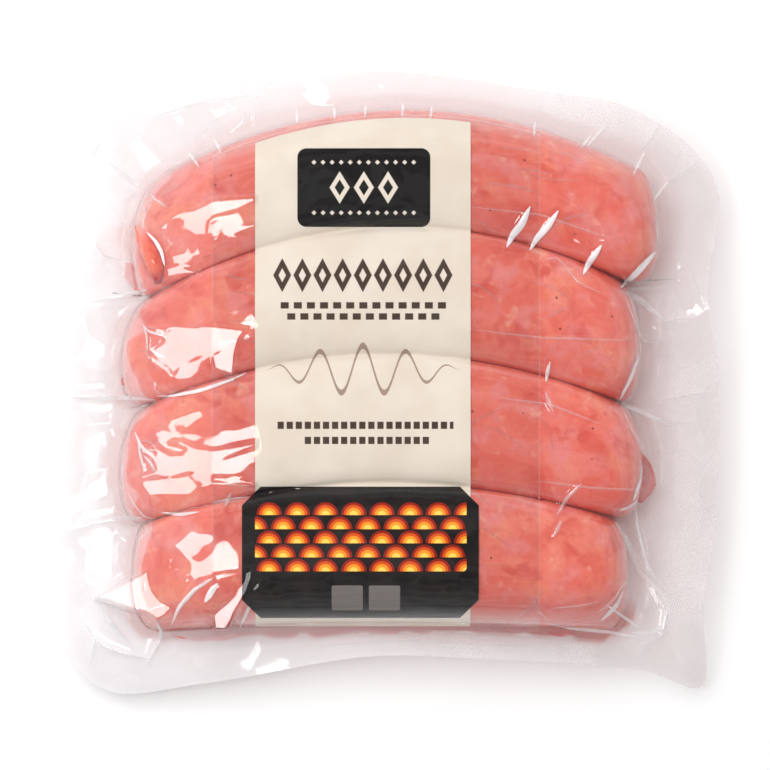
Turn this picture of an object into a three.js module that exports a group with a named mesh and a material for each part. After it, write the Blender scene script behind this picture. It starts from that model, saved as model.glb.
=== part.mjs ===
// Vacuum pack of four sausages: a clear film pouch drawn tight over the sausages, sealed in a
// flat flange all round, with a clear printed label stuck on its front. The pack lies on its back.
// Millimetres, +X along the sausages, +Y towards the top of the label, +Z up. The origin is on
// the surface the pack lies on, at the centre of the pack's outline.
import * as THREE from "three";

// The sausages, counted from the top of the label.
const SAUSAGES = 4;
const PACK_HEIGHT = 31; // from the surface to the film on the sausages' crowns
const FLANGE_HEIGHT = 13; // the middle of the sealed flange
const FLANGE_THICKNESS = 1;
const SECTION_POWER = 2.4; // the squareness of the squeezed sausages' section
const END_POWER = 2.2; // the roundness of their ends, from above and from the side
const END_LENGTH = 17; // how far from its tip a sausage reaches full height
const BASE_SHARE = 0.93; // below this share of its depth the underside is pressed flat

// The lines between neighbours are shallow arches. One more line closes each side of the row.
const SEAMS = [
  { middleX: 4.0, crownY: 74.0, bend: 0.0041 },
  { middleX: 2.7, crownY: 42.1, bend: 0.0041 },
  { middleX: -1.4, crownY: 7.8, bend: 0.0033 },
  { middleX: -1.4, crownY: -27.0, bend: 0.0025 },
  { middleX: -1.4, crownY: -65.0, bend: 0.0005 },
];

// X of the sausages' tips, and of the notches where the seams end.
const LEFT_TIPS = [-70.0, -72.9, -73.4, -69.9];
const LEFT_NOTCHES = [-60.8, -64.8, -64.8, -65.9, -62.6];
const RIGHT_TIPS = [72.1, 67.2, 68.0, 64.0];
const RIGHT_NOTCHES = [67.5, 61.8, 61.0, 59.9, 57.2];

// The film stands off the sausages where it bridges to the flange and across the seams.
const SKIRT_RISE = 4.5; // above the flange, at the sausages' outline
const SKIRT_DROP = 3.5; // below it
const SKIRT_REACH = 6.5; // how far out the film comes down to the flange
const SEAM_RISE = 8; // the film in a seam, above the flange
const LABEL_SEAM_RISE = 14; // the same under the stiffer label
const UNDER_SEAM_DROP = 6;
const BRIDGE_POWER = 3; // how sharply the film leaves a sausage
const BRIDGE_LENGTH = 0.6; // sausages from the edge of the row to where the seams are full

// The label's edges. It starts just over the crown of the first sausage and ends at the last seam.
const LABEL_LEFT = -47.8;
const LABEL_RIGHT = 40.5;
const LABEL_GAP = 0.3;
const LABEL_THICKNESS = 0.5;
const LABEL_FADE = 6; // the film sinks back into the seams over this distance beside the label

// The free edge of the flange, clockwise from the top left corner, with its height: the film is
// a little curled, and its corners hang down.
const EDGE = [
  [-79, 77, 9.5],
  [-38, 81.5, 13],
  [0, 84, 14.5],
  [43, 78.5, 13],
  [63, 75, 11.5],
  [82, 63, 8.5],
  [89, 50, 9],
  [85.5, 26, 16],
  [88.5, 2, 13],
  [88, -36, 12],
  [84.5, -60, 14],
  [84, -82.5, 6],
  [68, -78, 10],
  [22, -74.5, 15.5],
  [-6, -74, 15.5],
  [-51, -81.5, 11],
  [-77, -83.5, 7],
  [-88, -72, 8],
  [-89, -20, 13],
  [-87, 22, 12],
  [-80, 38, 16],
  [-80.5, 64, 12],
];
const EDGE_SAMPLES = 720;

// The grid of the mesh. Rows run along the sausages and columns across them.
const ROW_STEPS = [-1, -0.93, -0.78, -0.45, 0, 0.45, 0.78, 0.93]; // across one sausage, -1 to 1
const LABEL_FIRST_ROW = 2;
const LABEL_COLUMNS = 12;
const STRAIGHT_HALF = 52; // between -52 and 52 the columns are straight across the row
const END_COLUMNS = 6; // beyond that they gather at the tips
const RING_STEPS = [0.12, 0.3, 0.55, 1]; // shares of the way from the sausages to the free edge

const LOOKS = {
  pouch: { color: 0xe98a7c, roughness: 0.25, metalness: 0 },
  label: { color: 0xefe3d0, roughness: 0.35, metalness: 0 },
};

const { lerp, smoothstep } = THREE.MathUtils;
const rows = ROW_STEPS.length * SAUSAGES;

// From 0 at the tip or side of a round form to 1 over its middle.
function rounded(distance, power) {
  const short = Math.max(0, 1 - distance);
  return Math.pow(Math.max(0, 1 - Math.pow(short, power)), 1 / power);
}

// From the bridging film's height at share 0 to the crown's at 1, with a soft bend between them.
function bridged(bridge, crown, share) {
  const mixed = lerp(bridge ** BRIDGE_POWER, crown ** BRIDGE_POWER, share ** BRIDGE_POWER);
  return Math.pow(mixed, 1 / BRIDGE_POWER);
}

function seamY(seam, x) {
  const { middleX, crownY, bend } = SEAMS[seam];
  return crownY - bend * (x - middleX) ** 2;
}

// Which sausage a row crosses, and where across it: -1 at its upper seam, 1 at its lower one.
function rowPlace(row) {
  const sausage = Math.min(Math.floor(row / ROW_STEPS.length), SAUSAGES - 1);
  const across = row === rows ? 1 : ROW_STEPS[row % ROW_STEPS.length];
  return { sausage, across };
}

// X of the row's end: round over each sausage, with a notch at each seam.
function endX(row, tips, notches) {
  const { sausage, across } = rowPlace(row);
  const notch = across < 0 ? notches[sausage] : notches[sausage + 1];
  return lerp(notch, tips[sausage], rounded(1 - Math.abs(across), END_POWER));
}

// X of each column along a row.
function columnXs(row) {
  const left = endX(row, LEFT_TIPS, LEFT_NOTCHES);
  const right = endX(row, RIGHT_TIPS, RIGHT_NOTCHES);
  const gathered = [];
  for (let i = 0; i < END_COLUMNS; i++) gathered.push(Math.sin((i / END_COLUMNS) * (Math.PI / 2)));
  const xs = gathered.map((share) => lerp(-STRAIGHT_HALF, left, share)).reverse();
  xs.unshift(left);
  for (let i = 0; i <= LABEL_COLUMNS; i++) xs.push(lerp(LABEL_LEFT, LABEL_RIGHT, i / LABEL_COLUMNS));
  xs.push((LABEL_RIGHT + STRAIGHT_HALF) / 2);
  gathered.forEach((share) => xs.push(lerp(STRAIGHT_HALF, right, share)));
  xs.push(right);
  return xs;
}

// 1 over the label, fading to 0 beside it.
function underLabel(x) {
  const outside = Math.max(LABEL_LEFT - x, x - LABEL_RIGHT, 0);
  return 1 - smoothstep(outside, 0, LABEL_FADE);
}

// The film over and under one point of the sausages.
function filmPoint(row, x) {
  const { sausage, across } = rowPlace(row);
  const left = endX(row, LEFT_TIPS, LEFT_NOTCHES);
  const right = endX(row, RIGHT_TIPS, RIGHT_NOTCHES);
  const share = (across + 1) / 2;
  const y = lerp(seamY(sausage, x), seamY(sausage + 1, x), share);
  const end = rounded(Math.min(x - left, right - x) / END_LENGTH, END_POWER);
  const full = rounded(1 - Math.abs(across), SECTION_POWER) * end;
  const place = sausage + share;
  const inside = Math.min(place, SAUSAGES - place);
  const inner = smoothstep(inside, 0, BRIDGE_LENGTH) * end;
  const seamRise = lerp(SEAM_RISE, LABEL_SEAM_RISE, underLabel(x));
  const crown = PACK_HEIGHT - FLANGE_HEIGHT - FLANGE_THICKNESS / 2;
  const rise = bridged(lerp(SKIRT_RISE, seamRise, inner), crown, full);
  const depth = FLANGE_HEIGHT - FLANGE_THICKNESS / 2;
  const drop = bridged(lerp(SKIRT_DROP, UNDER_SEAM_DROP, inner), depth / BASE_SHARE, full);
  return {
    top: new THREE.Vector3(x, y, FLANGE_HEIGHT + FLANGE_THICKNESS / 2 + rise),
    bottom: new THREE.Vector3(x, y, Math.max(0, depth - drop)),
  };
}

// The sausage field as rows of columns of top and bottom points.
function sausageGrid() {
  const grid = [];
  for (let row = 0; row <= rows; row++) grid.push(columnXs(row).map((x) => filmPoint(row, x)));
  return grid;
}

// The field's outer points in order: top row, right ends, bottom row, left ends.
function outerLoop(grid) {
  const last = grid[0].length - 1;
  const loop = [...grid[0].slice(0, last)];
  for (let row = 0; row < rows; row++) loop.push(grid[row][last]);
  loop.push(...grid[rows].slice(1).reverse());
  for (let row = rows; row > 0; row--) loop.push(grid[row][0]);
  return loop;
}

// The flange's free edge, by its direction from the centre.
function edgeFinder() {
  const points = EDGE.map((point) => new THREE.Vector3(...point));
  const curve = new THREE.CatmullRomCurve3(points, true, "centripetal");
  const samples = curve.getPoints(EDGE_SAMPLES);
  return (point) => {
    const wanted = new THREE.Vector2(point.x, point.y).normalize();
    let best = samples[0];
    let closest = -Infinity;
    for (const sample of samples) {
      const facing = (sample.x * wanted.x + sample.y * wanted.y) / Math.hypot(sample.x, sample.y);
      if (facing > closest) [closest, best] = [facing, sample];
    }
    return best;
  };
}

// The rings of the film between the sausages and the free edge.
function flangeRings(loop) {
  const edgeAt = edgeFinder();
  return RING_STEPS.map((share) =>
    loop.map(({ top }) => {
      const edge = edgeAt(top);
      const x = lerp(top.x, edge.x, share);
      const y = lerp(top.y, edge.y, share);
      const middle = lerp(FLANGE_HEIGHT, edge.z, share * share);
      const out = Math.hypot(x - top.x, y - top.y) / SKIRT_REACH;
      const fall = Math.max(0, 1 - out) ** 2;
      const half = FLANGE_THICKNESS / 2;
      return {
        top: new THREE.Vector3(x, y, middle + half + SKIRT_RISE * fall),
        bottom: new THREE.Vector3(x, y, middle - half - SKIRT_DROP * fall),
      };
    }),
  );
}

// Gathers triangles and gives them as one closed geometry.
class Surface {
  constructor() {
    this.corners = [];
  }
  triangle(a, b, c) {
    this.corners.push(...a.toArray(), ...b.toArray(), ...c.toArray());
  }
  quad(a, b, c, d) {
    this.triangle(a, b, c);
    this.triangle(a, c, d);
  }
  // The upper and lower faces over one cell, whose corners run anticlockwise from above.
  cell(a, b, c, d) {
    this.quad(a.top, b.top, c.top, d.top);
    this.triangle(a.bottom, c.bottom, b.bottom);
    this.triangle(a.bottom, d.bottom, c.bottom);
  }
  // The side wall between two neighbours on the edge, with the solid to the left of a to b.
  wall(a, b) {
    this.quad(a.bottom, b.bottom, b.top, a.top);
  }
  geometry() {
    const made = new THREE.BufferGeometry();
    made.setAttribute("position", new THREE.Float32BufferAttribute(this.corners, 3));
    made.computeVertexNormals();
    return made;
  }
}

function coverGrid(surface, grid) {
  for (let row = 0; row + 1 < grid.length; row++) {
    for (let column = 0; column + 1 < grid[row].length; column++) {
      const [upper, lower] = [grid[row], grid[row + 1]];
      surface.cell(lower[column], lower[column + 1], upper[column + 1], upper[column]);
    }
  }
}

function pouchGeometry(grid) {
  const surface = new Surface();
  coverGrid(surface, grid);
  const loop = outerLoop(grid);
  const rings = [loop, ...flangeRings(loop)];
  const next = (i) => (i + 1) % loop.length;
  for (let ring = 0; ring + 1 < rings.length; ring++) {
    const [inner, outer] = [rings[ring], rings[ring + 1]];
    loop.forEach((_, i) => surface.cell(inner[i], inner[next(i)], outer[next(i)], outer[i]));
  }
  const edge = rings[rings.length - 1];
  loop.forEach((_, i) => surface.wall(edge[next(i)], edge[i]));
  return surface.geometry();
}

// The label is the part of the same grid between its edges, lifted square to the film.
function labelGeometry(grid) {
  const firstColumn = END_COLUMNS + 1;
  const lifted = (row, column) => {
    const { top } = grid[row][column];
    const along = grid[row][column + 1].top.clone().sub(grid[row][column - 1].top);
    const lower = grid[Math.min(row + 1, rows)][column].top;
    const normal = along.cross(grid[row - 1][column].top.clone().sub(lower)).normalize();
    return {
      top: top.clone().addScaledVector(normal, LABEL_GAP + LABEL_THICKNESS),
      bottom: top.clone().addScaledVector(normal, LABEL_GAP),
    };
  };
  const sheet = [];
  for (let row = LABEL_FIRST_ROW; row <= rows; row++) {
    const points = [];
    for (let column = 0; column <= LABEL_COLUMNS; column++) points.push(lifted(row, firstColumn + column));
    sheet.push(points);
  }
  const surface = new Surface();
  coverGrid(surface, sheet);
  const last = sheet.length - 1;
  for (let column = 0; column < LABEL_COLUMNS; column++) {
    surface.wall(sheet[last][column], sheet[last][column + 1]);
    surface.wall(sheet[0][column + 1], sheet[0][column]);
  }
  for (let row = 0; row < last; row++) {
    surface.wall(sheet[row][0], sheet[row + 1][0]);
    surface.wall(sheet[row + 1][LABEL_COLUMNS], sheet[row][LABEL_COLUMNS]);
  }
  return surface.geometry();
}

function namedMesh(name, geometry) {
  const mesh = new THREE.Mesh(geometry, new THREE.MeshStandardMaterial(LOOKS[name]));
  mesh.name = name;
  return mesh;
}

const grid = sausageGrid();
const pouch = namedMesh("pouch", pouchGeometry(grid));
const label = namedMesh("label", labelGeometry(grid));
const centre = new THREE.Box3().setFromObject(pouch).getCenter(new THREE.Vector3());
for (const mesh of [pouch, label]) mesh.geometry.translate(-centre.x, -centre.y, 0);
const pack = new THREE.Group();
pack.add(pouch, label);

export default pack;
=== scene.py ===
"""A vacuum pack of four thick sausages, lying on its back under a softbox."""
import math

import bpy
import numpy as np
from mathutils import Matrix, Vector


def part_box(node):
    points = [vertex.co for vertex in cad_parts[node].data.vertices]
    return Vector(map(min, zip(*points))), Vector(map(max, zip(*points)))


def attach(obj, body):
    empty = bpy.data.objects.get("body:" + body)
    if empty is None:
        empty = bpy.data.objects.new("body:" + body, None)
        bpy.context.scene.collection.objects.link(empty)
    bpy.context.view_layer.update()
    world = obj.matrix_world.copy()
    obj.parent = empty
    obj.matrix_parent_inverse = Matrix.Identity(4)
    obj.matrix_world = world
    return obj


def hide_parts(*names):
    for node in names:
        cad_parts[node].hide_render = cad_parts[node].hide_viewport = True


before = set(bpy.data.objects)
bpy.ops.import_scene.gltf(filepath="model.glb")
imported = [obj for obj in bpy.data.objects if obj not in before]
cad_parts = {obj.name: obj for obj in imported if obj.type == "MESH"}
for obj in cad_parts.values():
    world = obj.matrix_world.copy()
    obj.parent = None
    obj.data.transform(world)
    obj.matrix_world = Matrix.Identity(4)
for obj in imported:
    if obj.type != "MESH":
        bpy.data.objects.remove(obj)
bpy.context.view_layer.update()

MM = 0.001
SEED = 11

# The pouch solid, in millimetres: the film follows it, and so do the sausages under the film.
SAUSAGES = 4
PACK_HEIGHT = 31.0
FLANGE_HEIGHT = 13.0
FLANGE_THICKNESS = 1.0
SECTION_POWER = 2.4
END_POWER = 2.2
END_LENGTH = 17.0
BASE_SHARE = 0.93
SEAMS = (  # x of the middle, y there, and bend of the lines between the sausages
    (4.0, 74.0, 0.0041),
    (2.7, 42.1, 0.0041),
    (-1.4, 7.8, 0.0033),
    (-1.4, -27.0, 0.0025),
    (-1.4, -65.0, 0.0005),
)
LEFT_TIPS = (-70.0, -72.9, -73.4, -69.9)
LEFT_NOTCHES = (-60.8, -64.8, -64.8, -65.9, -62.6)
RIGHT_TIPS = (72.1, 67.2, 68.0, 64.0)
RIGHT_NOTCHES = (67.5, 61.8, 61.0, 59.9, 57.2)
SKIRT_DROP = 3.5
SKIRT_REACH = 6.5
UNDER_SEAM_DROP = 6.0
BRIDGE_POWER = 3.0
BRIDGE_LENGTH = 0.6
LABEL_LEFT = -47.8
LABEL_RIGHT = 40.5
LABEL_FADE = 6.0
EDGE = (  # the free edge of the flange and its height, clockwise from the top left corner
    (-79, 77, 9.5), (-38, 81.5, 13), (0, 84, 14.5), (43, 78.5, 13), (63, 75, 11.5),
    (82, 63, 8.5), (89, 50, 9), (85.5, 26, 16), (88.5, 2, 13), (88, -36, 12),
    (84.5, -60, 14), (84, -82.5, 6), (68, -78, 10), (22, -74.5, 15.5), (-6, -74, 15.5),
    (-51, -81.5, 11), (-77, -83.5, 7), (-88, -72, 8), (-89, -20, 13), (-87, 22, 12),
    (-80, 38, 16), (-80.5, 64, 12),
)

# The photograph: the pack's left, right, top and bottom edges in its pixels, and its width.
PHOTO_WIDTH = 770
PHOTO_BOX = (58.0, 721.0, 72.0, 695.0)

pouch_low, pouch_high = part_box("pouch")
PIXEL = (pouch_high[0] - pouch_low[0]) / MM / (PHOTO_BOX[1] - PHOTO_BOX[0])
PHOTO_MIDDLE = ((PHOTO_BOX[0] + PHOTO_BOX[1]) / 2, (PHOTO_BOX[2] + PHOTO_BOX[3]) / 2)


def at(u, v):
    """A pixel of the photograph as x and y in millimetres."""
    return (u - PHOTO_MIDDLE[0]) * PIXEL, (PHOTO_MIDDLE[1] - v) * PIXEL


# Forms shared by the film and what is in it

def smooth(value, low, high):
    share = np.clip((value - low) / (high - low), 0, 1)
    return share * share * (3 - 2 * share)


def mix(a, b, share):
    return a + (b - a) * share


def rounded(distance, power):
    short = np.clip(1 - distance, 0, 1)
    return np.clip(1 - short ** power, 0, 1) ** (1 / power)


def bridged(bridge, crown, share):
    power = BRIDGE_POWER
    return mix(bridge ** power, crown ** power, share ** power) ** (1 / power)


def edge_samples(steps=12):
    """The free edge as a closed centripetal Catmull-Rom curve through its points."""
    points = np.array(EDGE, float)
    found = []
    for i in range(len(points)):
        p0, p1, p2, p3 = (points[(i + k) % len(points)] for k in (-1, 0, 1, 2))
        d0, d1, d2 = (np.linalg.norm(b - a) ** 0.5 for a, b in ((p0, p1), (p1, p2), (p2, p3)))
        m1 = ((p1 - p0) / d0 - (p2 - p0) / (d0 + d1) + (p2 - p1) / d1) * d1
        m2 = ((p2 - p1) / d1 - (p3 - p1) / (d1 + d2) + (p3 - p2) / d2) * d1
        t = np.linspace(0, 1, steps, endpoint=False)[:, None]
        start = (2 * t ** 3 - 3 * t ** 2 + 1) * p1 + (t ** 3 - 2 * t ** 2 + t) * m1
        found.append(start + (-2 * t ** 3 + 3 * t ** 2) * p2 + (t ** 3 - t ** 2) * m2)
    return np.concatenate(found)


edge_line = edge_samples()
CENTRE = (edge_line.min(0) + edge_line.max(0))[:2] / 2  # the solid is centred on its outline


def closed(line):
    return np.concatenate((line, line[:1]))


def nearest(line, x, y):
    """Each point's distance to a line, and the line's last coordinate where it is nearest."""
    best, last = np.full(x.shape, np.inf), np.zeros(x.shape)
    for start, stop in zip(line[:-1], line[1:]):
        way = stop[:2] - start[:2]
        share = np.clip(((x - start[0]) * way[0] + (y - start[1]) * way[1]) / (way @ way), 0, 1)
        off = (x - start[0] - way[0] * share) ** 2 + (y - start[1] - way[1] * share) ** 2
        nearer = off < best
        best = np.where(nearer, off, best)
        last = np.where(nearer, mix(start[-1], stop[-1], share), last)
    return np.sqrt(best), last


def edge_radius(angle):
    """The distance from the origin to the free edge in each direction."""
    around = np.arctan2(edge_line[:, 1], edge_line[:, 0])
    return np.interp(angle, around, np.hypot(edge_line[:, 0], edge_line[:, 1]), period=2 * math.pi)


def seam_y(seam, x):
    middle, crown, bend = SEAMS[seam]
    return crown - bend * (x - middle) ** 2


def row_end(place, tips, notches):
    """X of the row's end at a place from 0, the top seam, to 4, the bottom one."""
    sausage = np.clip(np.floor(place), 0, SAUSAGES - 1).astype(int)
    across = 2 * (place - sausage) - 1
    notch = np.where(across < 0, np.array(notches)[sausage], np.array(notches)[sausage + 1])
    return mix(notch, np.array(tips)[sausage], rounded(1 - abs(across), END_POWER))
def row_ends(place):
    """X of the row's left and right ends at a place."""
    return row_end(place, LEFT_TIPS, LEFT_NOTCHES), row_end(place, RIGHT_TIPS, RIGHT_NOTCHES)

def place_of(x, y):
    place = np.zeros_like(x)
    for sausage in range(SAUSAGES):
        upper, lower = seam_y(sausage, x), seam_y(sausage + 1, x)
        place += np.clip((upper - y) / (upper - lower), 0, 1)
    return place


def y_of(place, x):
    sausage = np.clip(np.floor(place), 0, SAUSAGES - 1).astype(int)
    lines = np.stack([seam_y(seam, x) for seam in range(SAUSAGES + 1)])
    take = np.arange(SAUSAGES + 1).reshape((-1,) + (1,) * x.ndim)
    upper = (lines * (take == sausage)).sum(0)
    lower = (lines * (take == sausage + 1)).sum(0)
    return mix(upper, lower, place - sausage)


def field_loop(places, columns):
    """The points around the row of sausages, clockwise from the top left."""
    left, right = row_ends(places)
    top = mix(left[0], right[0], columns)
    bottom = mix(left[-1], right[-1], columns)
    x = np.concatenate((top[:-1], right[:-1], bottom[:0:-1], left[:0:-1]))
    place = np.concatenate((np.zeros(len(top) - 1), places[:-1],
                            np.full(len(bottom) - 1, float(SAUSAGES)), places[:0:-1]))
    return x, y_of(place, x)


def even(count):
    return np.linspace(0, 1, count + 1)


OUTLINE_ROWS = 96
OUTLINE_COLUMNS = 40
inner_line = closed(np.column_stack(field_loop(even(OUTLINE_ROWS) * SAUSAGES, even(OUTLINE_COLUMNS))))
outer_line = closed(edge_line)


class Lie:
    """How points lie on the pack: their share of a sausage, and how far they are out of the row."""

    def __init__(self, x, y):
        self.x, self.y = x, y
        self.place = place_of(x, y)
        sausage = np.clip(np.floor(self.place), 0, SAUSAGES - 1)
        self.across = 2 * (self.place - sausage) - 1
        left, right = row_ends(self.place)
        inside = (self.place > 0) & (self.place < SAUSAGES)
        self.from_end = np.where(inside, np.clip(np.minimum(x - left, right - x), 0, None), 0)
        self.end = rounded(self.from_end / END_LENGTH, END_POWER)
        self.full = rounded(1 - abs(self.across), SECTION_POWER) * self.end
        outside = self.end <= 0
        self.out, self.share, self.edge = (np.zeros_like(x) for _ in range(3))
        self.out[outside] = nearest(inner_line, x[outside], y[outside])[0]
        to_edge, self.edge[outside] = nearest(outer_line, x[outside], y[outside])
        self.share[outside] = self.out[outside] / np.maximum(self.out[outside] + to_edge, 0.001)
        beside = np.maximum(np.maximum(LABEL_LEFT - x, x - LABEL_RIGHT), 0)
        self.label = 1 - smooth(beside, 0, LABEL_FADE)
        within = np.minimum(self.place, SAUSAGES - self.place)
        self.inner = smooth(within, 0, BRIDGE_LENGTH) * self.end
        self.fall = np.clip(1 - self.out / SKIRT_REACH, 0, None) ** 2
        self.middle = mix(FLANGE_HEIGHT, self.edge, self.share ** 2)

    def noise(self, size, seed):
        return lattice_noise(self.x, self.y, size, seed)

    def points(self, height):
        """The points at a height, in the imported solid's coordinates."""
        return np.column_stack((self.x - CENTRE[0], self.y - CENTRE[1], height))


CROWN = PACK_HEIGHT - FLANGE_HEIGHT - FLANGE_THICKNESS / 2
DEPTH = FLANGE_HEIGHT - FLANGE_THICKNESS / 2
FILM = 0.12  # half the thickness of the sealed films
CONTACT = 12.3  # how far above the middle neighbouring sausages touch
VALLEY = 0.9  # how far above that the film bridges them
LABEL_VALLEY = 1.2
FILLET_RISE = 2.4
FILLET_REACH = 3.0
DROOP_START = -33.0  # left of this the sausages droop
DROOP_SLOPE = 0.14
DROOP_EASE = 8.0


def crown_at(lie):
    beyond = np.clip(DROOP_START - lie.x, 0, None)
    eased = np.where(beyond < DROOP_EASE, beyond ** 2 / (2 * DROOP_EASE), beyond - DROOP_EASE / 2)
    return CROWN - DROOP_SLOPE * eased


def film_top(lie):
    contact = CONTACT * lie.inner
    valley = mix(mix(FILLET_RISE, VALLEY, lie.inner), LABEL_VALLEY, lie.label * lie.inner)
    rise = contact + bridged(valley, crown_at(lie) - contact, lie.full)
    lift = mix(FLANGE_THICKNESS / 2, FILM, smooth(lie.out, 0, FILLET_REACH))
    fall = np.clip(1 - lie.out / FILLET_REACH, 0, None) ** 2
    return lie.middle + lift + np.where(lie.out > 0, FILLET_RISE * fall, rise)


def film_bottom(lie):
    under = mix(SKIRT_DROP, UNDER_SEAM_DROP, lie.inner)
    drop = bridged(under, DEPTH / BASE_SHARE, lie.full)
    sink = mix(FLANGE_THICKNESS / 2, FILM, smooth(lie.out, 0, SKIRT_REACH))
    low = lie.middle - sink - np.where(lie.out > 0, SKIRT_DROP * lie.fall, drop)
    return np.maximum(low, FILM)


# Unevenness

LATTICE = 97  # random values along each side of the lattice, before it repeats
JITTER = (0.1, 0.9)  # how far into its cell a point may lie


def lattice_noise(x, y, size, seed):
    """Smooth noise from -1 to 1 with one random value every size millimetres."""
    values = np.random.default_rng(SEED + seed).uniform(-1, 1, (LATTICE, LATTICE))
    gx, gy = x / size, y / size
    ix, iy = np.floor(gx).astype(int), np.floor(gy).astype(int)
    fx, fy = smooth(gx - ix, 0, 1), smooth(gy - iy, 0, 1)

    def value(dx, dy):
        return values[(ix + dx) % LATTICE, (iy + dy) % LATTICE]

    return mix(mix(value(0, 0), value(1, 0), fx), mix(value(0, 1), value(1, 1), fx), fy)


def nearest_squared(x, y, step_x, step_y, seed):
    """The squared distance to the nearest of one jittered point per cell of a grid."""
    jitter = np.random.default_rng(SEED + seed).uniform(*JITTER, (LATTICE, LATTICE, 2))
    ix, iy = np.floor(x / step_x).astype(int), np.floor(y / step_y).astype(int)
    best = np.full(x.shape, np.inf)
    for dx in (-1, 0, 1):
        for dy in (-1, 0, 1):
            cell = jitter[(ix + dx) % LATTICE, (iy + dy) % LATTICE]
            px, py = (ix + dx + cell[..., 0]) * step_x, (iy + dy + cell[..., 1]) * step_y
            best = np.minimum(best, (x - px) ** 2 + (y - py) ** 2)
    return best


def traced(pixels):
    """Pixels of the photograph, u and v in turn, as points of the solid before it was centred."""
    return np.array([at(*pixel) for pixel in np.reshape(pixels, (-1, 2))]) + CENTRE


def run_along(line):
    """The length of a line up to each of its points."""
    return np.concatenate(((0,), np.cumsum(np.hypot(*np.diff(line, axis=0).T))))


RIDGE_ENDS = (0.04, 0.96)  # a fold's height stays as it is at these shares of its length beyond them


def ridge(x, y, pixels, width, height, sharp=False):
    """A fold of the film along a line of the photograph's pixels, width and height in millimetres."""
    line = traced(pixels)
    run = run_along(line)
    far, along = nearest(np.column_stack((line, run)), x, y)
    strength = np.sin(math.pi * np.clip(along / run[-1], *RIDGE_ENDS)) ** 0.5
    away = far / width
    return height * strength * np.exp(-away if sharp else -away ** 2)


LUMPS = (  # the sausages' unevenness: its size, height, shift in x and y, and seed
    (19, 0.45, 31, 0, 1),
    (8.5, 0.22, 0, 17, 2),
    (3.1, 0.06, 0, 0, 3),
)
HOLLOW = (591, 224, 594, 238, 597, 252)  # near the first sausage's right end
HOLLOW_WIDTH = 2.6
HOLLOW_DEPTH = 0.5


def lumps(x, y):
    """The sausages' own unevenness, which the film over them shows too."""
    uneven = -ridge(x, y, HOLLOW, HOLLOW_WIDTH, HOLLOW_DEPTH)
    for size, height, shift_x, shift_y, seed in LUMPS:
        uneven = uneven + height * lattice_noise(x + shift_x, y + shift_y, size, seed)
    return uneven


TOP_PUCKERS = (  # where short folds of the film cross the outline of the first sausage
    (255, 128, 254, 112, 0.55), (297, 124, 297, 108, 0.6), (335, 121, 334, 106, 0.6),
    (365, 119, 366, 104, 0.65), (402, 119, 403, 103, 0.6), (430, 121, 432, 106, 0.6),
    (533, 138, 535, 122, 0.7), (580, 149, 592, 134, 0.8), (587, 146, 606, 126, 0.8),
    (632, 176, 645, 152, 0.9), (652, 202, 668, 182, 0.9), (200, 168, 188, 152, 0.8),
    (222, 155, 214, 138, 0.7),
)
SEAM_PUCKERS = (  # folds that run from a seam up over the sausage above it
    (507, 248, 514, 233, 529, 209, 0.5), (529, 251, 540, 237, 557, 214, 0.5),
    (582, 274, 588, 263, 600, 247, 0.5), (545, 382, 549, 364, 0.6),
    (556, 514, 566, 497, 580, 483, 0.8), (560, 520, 552, 536, 0.6),
    (226, 506, 232, 492, 0.7), (544, 392, 552, 412, 0.6),
)
END_FOLDS = (  # thin folds over the sausages' ends
    (654, 250, 638, 268, 620, 286, 0.8), (639, 343, 634, 362, 617, 402, 0.6),
    (641, 466, 638, 486, 632, 500, 0.7), (655, 215, 656, 240, 0.5),
    (142, 205, 143, 218, 145, 230, 0.5),
    (154, 200, 164, 203, 170, 210, 0.5), (144, 324, 149, 334, 148, 348, 150, 362, 0.6),
    (148, 327, 158, 329, 165, 334, 0.5), (136, 431, 141, 446, 143, 470, 0.6),
    (141, 440, 152, 441, 159, 450, 0.5), (142, 448, 150, 449, 158, 450, 0.5),
    (145, 455, 152, 462, 157, 472, 0.5), (154, 384, 158, 392, 166, 396, 0.6),
    (166, 396, 200, 389, 232, 378, 247, 372, 0.7), (162, 513, 182, 512, 200, 511, 0.7),
    (173, 620, 186, 600, 203, 581, 216, 576, 0.7), (262, 582, 250, 600, 240, 630, 0.7),
    (147, 580, 145, 590, 0.4), (128, 609, 144, 613, 158, 622, 161, 634, 0.6),
    (214, 503, 232, 501, 250, 498, 0.4), (213, 482, 232, 484, 256, 486, 0.4),
    (628, 575, 612, 598, 596, 612, 0.7), (535, 480, 590, 487, 650, 490, 0.35),
    (470, 330, 540, 338, 636, 341, 0.3), (470, 208, 540, 216, 610, 240, 0.3),
    (540, 262, 556, 258, 578, 284, 604, 296, 0.35), (500, 398, 548, 404, 600, 424, 0.35),
    (548, 607, 580, 604, 600, 600, 0.5), (144, 520, 150, 530, 138, 542, 0.5),
)
FOLD_GROUPS = (  # folds, their width, how white their painted highlight strips are, and whether they have a sharp crest
    (TOP_PUCKERS, 0.6, 0.5, False),
    (SEAM_PUCKERS, 0.8, 0.25, False),
    (END_FOLDS, 0.45, 0.15, True),
)
NECK_BULGE = (138, 230, 144, 242, 150, 254, 155, 267, 158, 281)  # over the gathered casing
NECK_WIDTH = 3.0
NECK_RISE = 2.4
NECK_DENT = 4.6  # how deep the gathered casing lies in the first sausage's end
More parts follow.
